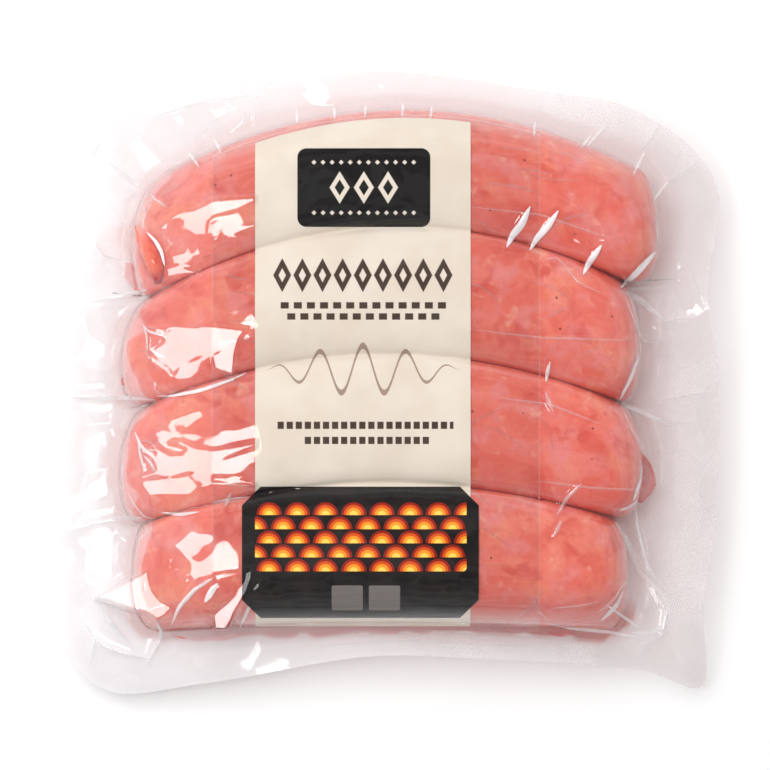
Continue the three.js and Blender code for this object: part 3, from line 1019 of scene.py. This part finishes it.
def film_marks(lie, height=None):
    """Where the film is sealed, stained pink and cloudy; also painted shade on the right flange, painted
    reflection veils on the left and painted light on the front of the flange.
    """
    x, y, outside = lie.x, lie.y, lie.end <= 0
    seal = smooth(lie.share, *SEAL) * (0.7 + 0.3 * lie.noise(*WORN))
    ragged, ragged_end = (mean + spread * lie.noise(*chance)
                          for mean, spread, *chance in (RAGGED, RAGGED_END))
    front = smooth(lie.place, SAUSAGES - 0.4, SAUSAGES - 0.02)
    stain_and_painted_shade = front * (1 - smooth(lie.out / ragged, 0.6, 1.1))
    wet = smooth(-x, 48, 56) * (1 - smooth(lie.out / ragged_end, 0.5, 1.0))
    # painted shade on the right flange, taken together with the juice stains
    stain_and_painted_shade = np.max((stain_and_painted_shade, RIGHT_PAINTED_SHADE * smooth(x, 40, 75), WET_STAIN * wet), axis=0) * outside
    # painted reflection: a milkier veil towards the left
    haze_and_painted_light = CLEAR_HAZE + LEFT_VEIL_HAZE * smooth(-x, *LEFT_VEIL_SPAN) * (0.75 + 0.25 * lie.noise(*LEFT_VEIL_CHANCE))
    patchy = smooth(lattice_noise(x + 0.4 * y, y - 0.3 * x, *PATCHES), *PATCHY)
    haze_and_painted_light = haze_and_painted_light + PATCHY_HAZE * patchy * (1 - lie.label)
    # painted reflection on the left flange, and painted light on the front of the flange
    paler = FLANGE_LEFT_VEIL * smooth(-x, 30, 60) + FRONT_PAINTED_LIGHT * smooth(-x, -60, 60) * smooth(-y, 40, 68)
    haze_and_painted_light = haze_and_painted_light + (FLANGE_HAZE + paler) * smooth(lie.out, 0, 1)
    # painted reflection: a whiter veil over the sausages' left ends
    veiled = smooth(-x, 52, 60) * (1 - smooth(lie.from_end / ragged_end, 0.75, 1.0)) * ~outside
    over_neck = ridge(x, y, NECK_BULGE, *NECK_CLEAR)
    haze_and_painted_light = (haze_and_painted_light + END_VEIL_HAZE * veiled) * (1 - np.clip(over_neck, 0, 1))
    if height is not None:
        gap = np.where(outside, 0, height - sausage_top(lie))
        haze_and_painted_light = haze_and_painted_light + LOOSE_HAZE * smooth(gap, *LOOSE_GAP) * (1 - smooth(lie.label, 0.2, 0.6))
    marks = {"seal": seal, "stain_and_painted_shade": stain_and_painted_shade, "haze_and_painted_light": haze_and_painted_light}
    return {name: np.clip(values, 0, 1) for name, values in marks.items()}


CREVICE_SHADE_SHARE = 0.035  # of half a sausage's width, this share is darkened beside its neighbour as painted shade
CROWDED_COLUMNS = 0.6  # the share of the columns' spacing that crowds them towards the ends
UNDER_DEPTH = DEPTH - 0.3  # of a sausage below its middle, and where it is pressed flat
FLAT_DEPTH = DEPTH - 0.4
UNDER_LUMPS = 0.3


def sausage_mesh(number, rows=44, columns=150):
    """One sausage: an upper and a lower surface that meet round its middle."""
    across = np.sin(np.linspace(-1, 1, rows + 1) * math.pi / 2)
    places = number + (across + 1) / 2
    bend = (1 - np.cos(even(columns) * math.pi)) / 2
    shares = mix(even(columns), bend, CROWDED_COLUMNS)
    left, right = row_ends(places)
    x = mix(left[:, None] + SAUSAGE_CLEARANCE, right[:, None] - SAUSAGE_CLEARANCE, shares[None])
    y = y_of(np.broadcast_to(places[:, None], x.shape), x)
    lie = Lie(x.ravel(), y.ravel())
    top = sausage_top(lie)
    drop = np.minimum(UNDER_DEPTH * lie.full / BASE_SHARE, FLAT_DEPTH)
    uneven = UNDER_LUMPS * lumps(lie.x, lie.y) * lie.full * (lie.full < BASE_SHARE)
    bottom = lie.middle - drop - uneven
    index = np.arange(x.size).reshape(x.shape)
    inner = np.zeros(x.shape, bool)
    inner[1:-1, 1:-1] = True
    points = np.concatenate((lie.points(top), lie.points(bottom)[inner.ravel()]))
    renumber = np.cumsum(inner.ravel()) - 1 + x.size
    lower = np.where(inner, renumber.reshape(x.shape), index)
    quads = np.concatenate((grid_quads(index), grid_quads(lower)[:, ::-1]))
    # painted shade: the crevice mark darkens the meat in the crease beside each neighbour
    marks = {"crevice_shade": 1 - smooth(1 - abs(lie.across), 0, CREVICE_SHADE_SHARE),
             # painted shade: the lower mark darkens the side that faces the front, from the middle
             # rightward
             "lower": smooth(lie.across, 0.0, 0.8) * smooth(lie.x, -60, 0)}
    return points, quads, {name: np.concatenate((values, values[inner.ravel()]))
                           for name, values in marks.items()}


def columns_at(columns):
    """X of two columns of the photograph."""
    return (at(u, 0)[0] + CENTRE[0] for u in columns)


def sheet_mesh(columns, top_line, low_line, lift, step=0.5):
    """A sheet on the film between two columns of the photograph and two lines across it."""
    low_x, high_x = columns_at(columns)
    x = np.linspace(low_x, high_x, round((high_x - low_x) / step) + 1)
    top_y, low_y = top_line(x), low_line(x)
    rows = round((top_y.max() - low_y.min()) / step)
    y = mix(top_y[None], low_y[None], even(rows)[:, None])
    x = np.broadcast_to(x, y.shape)
    lie = Lie(x.ravel(), y.ravel())
    points = lie.points(front_height(lie) + lift)
    edge = np.minimum(x - low_x, high_x - x)
    edge = np.minimum(edge, np.minimum(top_y[None] - y, y - low_y[None]))
    return points, grid_quads(np.arange(x.size).reshape(x.shape)), edge.ravel()


def smoothed(path, times):
    """A path with its corners rounded and its ends left where they are."""
    for _ in range(times):
        path[1:-1] = (path[:-2] + 2 * path[1:-1] + path[2:]) / 4
    return path


def tube_mesh(path, radii, sides=20, flat=1.0):
    """A closed tube along a path of points, with a radius at each."""
    path, radii = np.array(path, float), np.array(radii, float)
    steps = even(6 * (len(path) - 1)) * (len(path) - 1)
    path = np.column_stack([np.interp(steps, range(len(path)), path[:, k]) for k in range(3)])
    path = smoothed(path, 3)
    radii = np.interp(steps, range(len(radii)), radii)
    way = np.gradient(path, axis=0)
    way /= np.linalg.norm(way, axis=1)[:, None]
    side = np.cross(way, (0, 0, 1))
    side /= np.linalg.norm(side, axis=1)[:, None]
    up = np.cross(side, way)
    turn = np.linspace(0, 2 * math.pi, sides, endpoint=False)
    rings = (path[:, None] + radii[:, None, None] * (
        np.cos(turn)[None, :, None] * side[:, None] + flat * np.sin(turn)[None, :, None] * up[:, None]))
    index = np.arange(len(path) * sides).reshape(len(path), sides)
    quads = list(grid_quads(index, closed=True))
    points = np.concatenate((rings.reshape(-1, 3), path[:1], path[-1:]))
    for tip, ring, order in ((len(points) - 2, index[0], 1), (len(points) - 1, index[-1], -1)):
        quads += [(*pair[::order], tip) for pair in zip(ring, np.roll(ring, -1))]
    along = np.concatenate((np.repeat(steps / steps[-1], sides), (0, 1)))
    return points, quads, along


CASING_GAP = 0.15


def under_film(pixels, radii, flatness=1.0):
    """A path of the photograph just deep enough under the front film for a tube of these radii."""
    line, radii = traced(pixels), np.array(radii)
    way = np.gradient(line, axis=0)
    side = np.column_stack((-way[:, 1], way[:, 0])) / np.hypot(way[:, 0], way[:, 1])[:, None]
    rooms = []
    for share in (-0.9, -0.6, -0.3, 0, 0.3, 0.6, 0.9):
        beside = line + side * (share * radii)[:, None]
        film_height = front_height(Lie(beside[:, 0], beside[:, 1]))
        rooms.append(film_height - flatness * radii * math.sqrt(1 - share ** 2))
    return np.column_stack((line - CENTRE, np.min(rooms, axis=0) - CASING_GAP))


FLAP_FLATNESS = 0.22
CASING_NECKS = (  # gathered casing: its path and its radii
    ((139, 228, 145, 240, 151, 253, 156, 266, 158, 275, 159, 284),
     (1.1, 2.0, 2.3, 2.3, 1.8, 0.8)),
    ((156, 396, 159, 399, 163, 397), (0.4, 0.9, 0.4)),
)
CASING_FLAPS = (  # flat ends of empty casing
    ((129, 263, 131, 276, 140, 285, 148, 290), (0.8, 1.8, 1.9, 0.6)),
    ((122, 381, 134, 381, 146, 388, 156, 397), (1.0, 2.2, 2.0, 0.6)),
    ((637, 452, 644, 466, 649, 484, 639, 502), (0.8, 2.0, 2.2, 0.8)),
    ((170, 632, 190, 635, 225, 635, 250, 632), (0.8, 1.6, 1.5, 0.6)),
    ((548, 632, 560, 634, 574, 632), (0.5, 1.0, 0.5)),
)

for number in range(SAUSAGES):
    points, quads, marks = sausage_mesh(number)
    make_piece(f"sausage_{number + 1}", points, quads, meat, marks)
for number, (pixels, radii) in enumerate(CASING_NECKS):
    points, quads, along = tube_mesh(under_film(pixels, radii), radii)
    make_piece(f"casing_neck_{number + 1}", points, quads, casing, {"along": along})
for number, (pixels, radii) in enumerate(CASING_FLAPS):
    path = under_film(pixels, radii, FLAP_FLATNESS)
    points, quads, _ = tube_mesh(path, radii, flat=FLAP_FLATNESS)
    make_piece(f"casing_flap_{number + 1}", points, quads, flap)

FRONT_GRID = (70, 340, 44)  # rows over each sausage, columns, and rings out to the free edge
BACK_GRID = (30, 140, 30)

for side, grid, height, order, looks in (
        ("front", FRONT_GRID, front_height, 1, (film, sealed_film)),
        ("back", BACK_GRID, back_height, -1, (back_film, sealed_back_film))):
    for part, look, (points, quads, marks) in zip(("", "_flange"), looks, film_meshes(*grid, height)):
        make_piece(f"film_{side}{part}", points, quads[:, ::order], look, marks)

PAINTED_HIGHLIGHT_FOLDS = (  # strips of doubled film drawn white as painted highlights: its path, width in millimetres and whiteness
    ((506, 248, 512, 236, 521, 225, 529, 208), 2.0, 0.8),
    ((529, 251, 536, 239, 547, 227, 557, 212), 1.8, 0.8),
    ((582, 275, 588, 263, 600, 246), 1.7, 0.8),
    ((620, 288, 634, 275, 655, 252), 1.7, 0.85),
    ((655, 250, 658, 232, 656, 215), 0.6, 0.4),
    ((545, 382, 546, 372, 549, 362), 0.9, 0.5),
    ((626, 290, 634, 312, 640, 343), 0.5, 0.35),
    ((640, 343, 640, 352, 630, 378, 617, 403), 0.9, 0.65),
    ((641, 465, 640, 480, 632, 500), 1.0, 0.6),
    ((636, 500, 630, 506, 618, 510), 0.9, 0.5),
    ((612, 517, 628, 543, 640, 572, 660, 592, 668, 604), 1.4, 0.4),
    ((634, 503, 638, 530, 646, 562, 656, 580), 0.9, 0.4),
    ((668, 604, 664, 625, 650, 634, 632, 632), 1.2, 0.4),
    ((606, 604, 625, 618, 640, 628), 0.8, 0.5),
    ((622, 590, 616, 604, 600, 620), 1.2, 0.5),
    ((545, 622, 570, 628, 610, 632, 640, 638), 0.9, 0.45),
    ((148, 233, 157, 242, 163, 253, 166, 267), 1.0, 0.8),
    ((148, 290, 120, 296, 90, 298), 1.3, 0.4),
    ((144, 517, 120, 519, 92, 524), 1.3, 0.35),
    ((621, 290, 640, 299, 662, 318), 1.3, 0.3),
    ((621, 288, 640, 289, 668, 287), 1.0, 0.25),
    ((618, 403, 640, 411, 668, 424), 1.2, 0.3),
    ((150, 193, 156, 200, 167, 208), 0.5, 0.4),
    ((143, 200, 146, 214, 143, 230), 0.4, 0.35),
    ((158, 396, 172, 396, 200, 391, 232, 380, 247, 373), 0.9, 0.75),
    ((66, 396, 100, 398, 130, 398, 157, 400), 1.2, 0.5),
    ((145, 326, 150, 332, 166, 336, 168, 341), 0.7, 0.6),
    ((144, 324, 148, 336, 149, 350), 0.5, 0.45),
    ((136, 432, 143, 447, 157, 458, 158, 466), 0.9, 0.65),
    ((139, 437, 142, 456, 146, 470), 0.7, 0.55),
    ((145, 455, 152, 462, 157, 472), 0.7, 0.55),
    ((163, 512, 182, 514, 200, 511), 0.8, 0.6),
    ((213, 502, 232, 498, 250, 496), 0.5, 0.45),
    ((128, 490, 136, 505, 146, 517, 158, 518), 0.5, 0.4),
    ((172, 624, 180, 606, 196, 588, 214, 577), 1.1, 0.65),
    ((206, 601, 214, 588, 219, 582), 1.7, 0.75),
    ((240, 628, 250, 606, 262, 588), 0.9, 0.5),
    ((98, 600, 106, 620, 122, 636, 130, 648), 0.7, 0.5),
    ((158, 622, 162, 634, 158, 648), 0.9, 0.5),
    ((102, 652, 118, 650, 134, 656, 150, 658), 1.0, 0.5),
)
CREASES = 30
CREASE_PLACES = (((138, 150), (256, 615)), ((472, 150), (640, 610)))  # left and right of the label
CREASE_SLANT = (0.1, 0.6)  # its mean and spread in radians
CREASE_REACH = (10, 30)  # half a crease's length in pixels, at least and at most
CREASE_BEND = 0.25
CREASE_WIDTH = (0.4, 1.0)
# how white the fine creases' painted highlights are
CREASE_HIGHLIGHT_WHITENESS = (0.02, 0.07)
FOLD_SPREAD = 1.2  # a fold's painted highlight strip by the width of its form
FLANGE_HIGHLIGHT_STRIP = (0.6, 0.18)  # width and whiteness of the painted highlight strips on the flange's folds
STRIP_STEP = 0.4
STRIP_LIFT = 0.07
STRIP_RISE = 0.2  # of its middle, by its width and whiteness


def chance_creases():
    """Fine creases scattered over the sausages, drawn as faint painted highlights."""
    chance = np.random.default_rng(SEED + 40)
    found = []
    for number in range(CREASES):
        middle = chance.uniform(*CREASE_PLACES[number % 3 > 0])
        turn = chance.normal(*CREASE_SLANT)
        way = np.array((math.cos(turn), math.sin(turn))) * chance.uniform(*CREASE_REACH)
        bend = np.array((-way[1], way[0])) * chance.uniform(-CREASE_BEND, CREASE_BEND)
        path = (middle - way, middle + bend, middle + way)
        found.append((path, chance.uniform(*CREASE_WIDTH), chance.uniform(*CREASE_HIGHLIGHT_WHITENESS)))
    return found


def all_folds():
    """Every narrow fold: its path, width and the whiteness of its painted highlight."""
    folds = list(PAINTED_HIGHLIGHT_FOLDS) + chance_creases()
    for group, width, highlight_whiteness, _ in FOLD_GROUPS:
        folds += [(pixels, width * FOLD_SPREAD, highlight_whiteness) for *pixels, _ in group]
    folds += [(pixels, *FLANGE_HIGHLIGHT_STRIP) for pixels, _, _ in FLANGE_FOLDS]
    return folds


def strip_on(pixels, width):
    """Both edges and the middle of a narrow strip along a path, tapered at its ends."""
    line = traced(pixels)
    run = run_along(line)
    along = np.linspace(0, run[-1], max(6, round(run[-1] / STRIP_STEP)) + 1)
    path = smoothed(np.column_stack([np.interp(along, run, line[:, k]) for k in (0, 1)]), 6)
    way = np.gradient(path, axis=0)
    way /= np.hypot(way[:, 0], way[:, 1])[:, None]
    side = np.column_stack((-way[:, 1], way[:, 0]))
    half = width / 2 * np.sin(math.pi * np.clip(along / run[-1], 0.02, 0.98)) ** 0.6
    return path[None] + np.array((1, 0, -1))[:, None, None] * side * half[:, None]


def folds_mesh(folds):
    """Strips of doubled film on the front film, with a raised middle, drawn milky white as painted
    highlights.
    """
    flat, quads, white, rise, count = [], [], [], [], 0
    for pixels, width, highlight_whiteness in folds:
        strip = strip_on(pixels, width)
        steps = strip.shape[1]
        quads.append(grid_quads(count + np.arange(3 * steps).reshape(3, steps)))
        flat.append(strip.reshape(-1, 2))
        white.append(np.full(3 * steps, highlight_whiteness))
        rise.append(np.repeat((0, width * STRIP_RISE * highlight_whiteness, 0), steps))
        count += 3 * steps
    flat, white, rise = (np.concatenate(part) for part in (flat, white, rise))
    lie = Lie(flat[:, 0], flat[:, 1])
    return lie.points(front_height(lie) + STRIP_LIFT + rise), np.concatenate(quads), {"haze_and_painted_light": white}


# painted highlights: white strips along the folds, where the film's folds mirror light
points, quads, marks = folds_mesh(all_folds())
make_piece("film_fold_highlights", points, quads, film, marks)


def below_top(sink):
    """A line that follows the first sausage's outline, sink millimetres below it."""
    return lambda x: seam_y(0, x) - sink


def row_line(v):
    return lambda x: np.full(x.shape, at(0, v)[1] + CENTRE[1])


def near_end(x, columns, reach):
    """1 at both ends of a sheet, and 0 from reach millimetres inward."""
    left, right = columns_at(columns)
    return np.clip(1 - np.minimum(x - left, right - x) / reach, 0, 1)


def sticker_low(x, corner=1.4):
    """The sticker's lower edge, with its rounded corners."""
    return row_line(STICKER_LOW)(x) + corner * (1 - np.sqrt(1 - near_end(x, STICKER, corner) ** 2))


def panel_line(v, cut):
    """The panel's edge at a row of the photograph, cut away towards its two ends."""
    return lambda x: row_line(v)(x) + cut * near_end(x, PANEL, abs(cut))


STICKER = (213.0, 539.0)
STICKER_LOW = 631
BAND_LOW = 626
PANEL_CUT = 5.0
CLEAR_RIM = 0.004
RIM_HAZE = 0.10
RIM_WIDTH = 0.45
SHEETS = (  # name, columns, upper and lower edge, millimetres above the film, and material
    ("label_band", BAND, below_top(2.6), row_line(BAND_LOW), 0.15, label_band_look),
    ("label_panel", PANEL, panel_line(PANEL_TOP, -PANEL_CUT), panel_line(PANEL_LOW, PANEL_CUT), 0.33,
     label_panel_look),
    ("label_sticker", STICKER, below_top(1.6), sticker_low, 0.48, sticker_film),
)
for name, columns, top_line, low_line, lift, look in SHEETS:
    points, quads, edge = sheet_mesh(columns, top_line, low_line, lift)
    rim = {"haze_and_painted_light": CLEAR_RIM + RIM_HAZE * (1 - smooth(edge, 0, RIM_WIDTH))}
    make_piece(name, points, quads, look, rim if look is sticker_film else (), node="label")

# Floor, lights and camera

FLOOR_REACH = 3  # metres
FLOOR_WHITE = (0.95, 0.95, 0.95)

corners = [(x * FLOOR_REACH, y * FLOOR_REACH, 0) for x, y in ((-1, -1), (1, -1), (1, 1), (-1, 1))]
white = Look("floor_white")
matt = white.finish(white.shader("Principled", Base_Color=FLOOR_WHITE, Roughness=0.8))
floor = add_mesh("floor", corners, [(0, 1, 2, 3)], matt)

SOFTBOX = ((-0.21, -0.085, 0.58), 0.17, 0.72)  # its place and side in metres, and its power in watts
OVERHEAD = ((-0.15, 0.30, 0.88), 0.9, 7.8)
DARK_FROM = 0.45  # the studio is bright all round and dark overhead, by the height of its direction
DARK_TO = 0.85
DARKEST = 0.05
STUDIO = 0.60
BRIGHT_SIDE = (-0.1, 0.12, 0.0)  # the studio is brighter behind the pack and to its left
PATCH = 0.28  # brightness of the patches of light that the film's facets mirror
PATCH_SCALE = 5.0
PATCH_LIMITS = (0.50, 0.56)  # of the noise, where a patch begins and is bright


def square_light(name, place, side, power, target=(0, 0, 0.015)):
    """A square light that faces the pack."""
    data = bpy.data.lights.new(name, "AREA")
    data.size = side
    data.energy = power
    light = add(name, data)
    light.location = place
    light.rotation_euler = (Vector(target) - Vector(place)).to_track_quat("-Z", "Y").to_euler()
    return light


square_light("softbox_left", *SOFTBOX)
square_light("overhead_fill", *OVERHEAD).visible_glossy = False  # the film mirrors the softbox alone

world = bpy.data.worlds.new("studio")
world.use_nodes = True
studio = Nodes(world.node_tree)
way = studio.node("ShaderNodeTexCoord").outputs["Generated"]
overhead = studio.ramp(studio.parts(way)[2], DARK_FROM, DARK_TO, 1.0, DARKEST)
towards = studio.node("ShaderNodeVectorMath", {0: way, 1: BRIGHT_SIDE}, operation="DOT_PRODUCT")
all_round = studio.math("ADD", towards.outputs["Value"], STUDIO)
uneven = studio.node("ShaderNodeTexNoise", {"Vector": way, "Scale": PATCH_SCALE, "Detail": 1.0})
patches = studio.ramp(uneven.outputs["Fac"], *PATCH_LIMITS, 0.0, PATCH)
background = world.node_tree.nodes["Background"]
studio.feed(background.inputs["Color"], (1.0, 1.0, 1.0))
studio.feed(background.inputs["Strength"], all_round * overhead + patches)
bpy.context.scene.world = world
bpy.context.scene.view_settings.view_transform = "Standard"

CAMERA_HEIGHT = 2.4
camera_data = bpy.data.cameras.new("camera")
frame_width = PHOTO_WIDTH * PIXEL * MM
camera_data.angle = 2 * math.atan(frame_width / 2 / (CAMERA_HEIGHT - FLANGE_HEIGHT * MM))
camera = add("camera", camera_data)
looked_at = at(PHOTO_WIDTH / 2, PHOTO_WIDTH / 2)
camera.location = (looked_at[0] * MM, looked_at[1] * MM, CAMERA_HEIGHT)
bpy.context.scene.camera = camera
